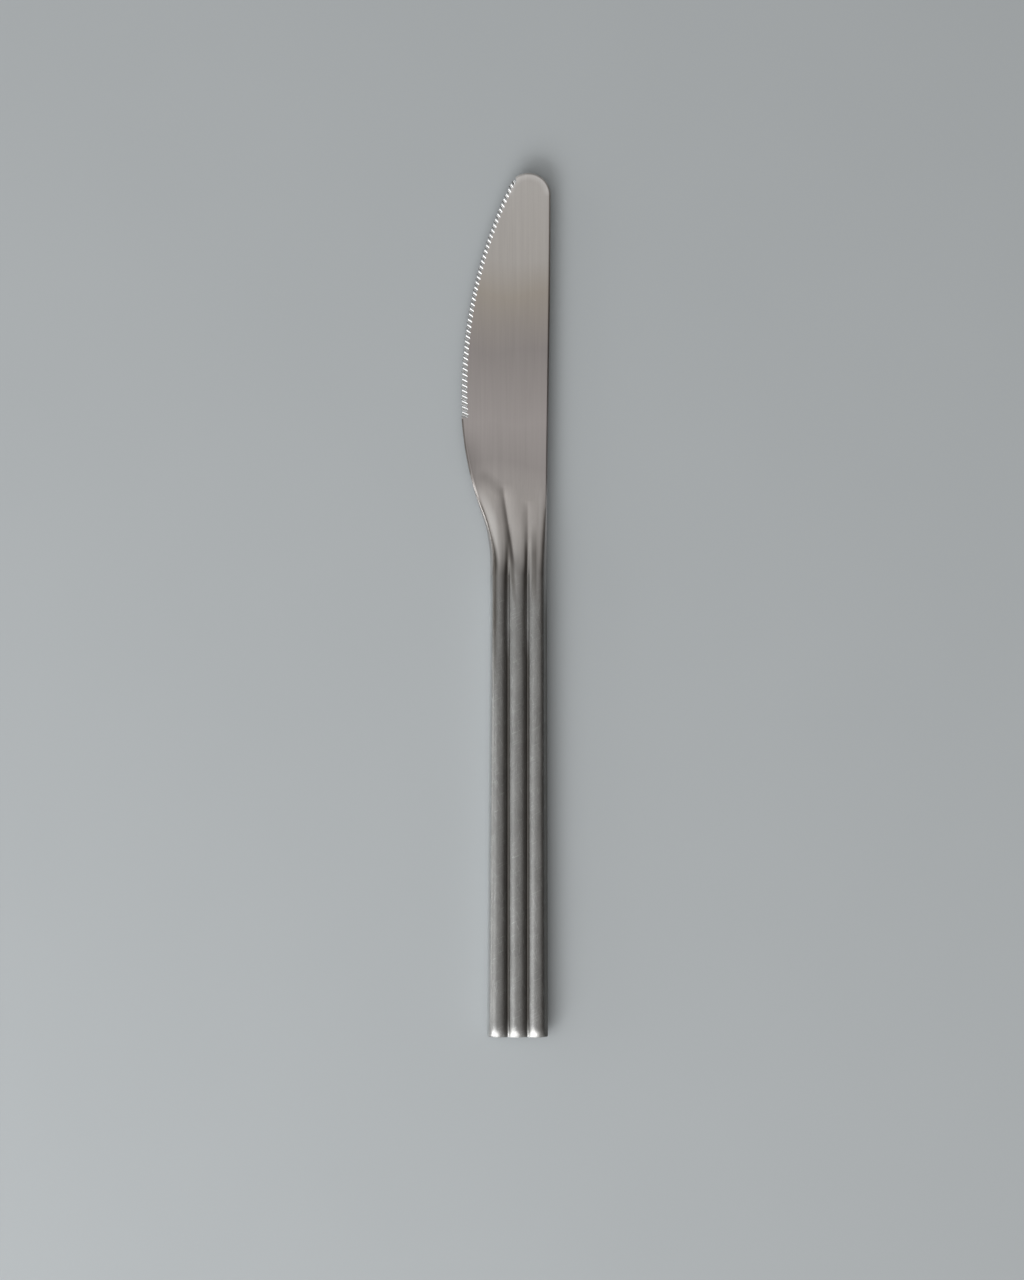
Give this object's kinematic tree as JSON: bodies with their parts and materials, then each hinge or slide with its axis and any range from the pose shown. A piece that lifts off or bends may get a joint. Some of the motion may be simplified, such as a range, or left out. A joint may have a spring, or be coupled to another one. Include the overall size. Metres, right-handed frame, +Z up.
{
  "type": "table knife",
  "caption": "Steel table knife with a rounded, serrated blade and a ribbed hollow handle whose ribs run out into the blade.",
  "frame": {"origin": "on the table under the middle of the knife's box, the knife lying flat on its back ribs", "axes": "+Y along the knife towards the tip, +X towards the spine, +Z up out of the serrated face"},
  "size_m": [0.0228, 0.22, 0.0055],
  "materials": {
    "blade_steel": "brushed along the blade",
    "handle_steel": "scuffed satin",
    "core": "cast, matte"
  },
  "bodies": {
    "root": {"blade": "blade_steel", "handle_front_shell": "handle_steel", "handle_back_shell": "handle_steel", "handle_filler": "core"}
  },
  "joints": []
}
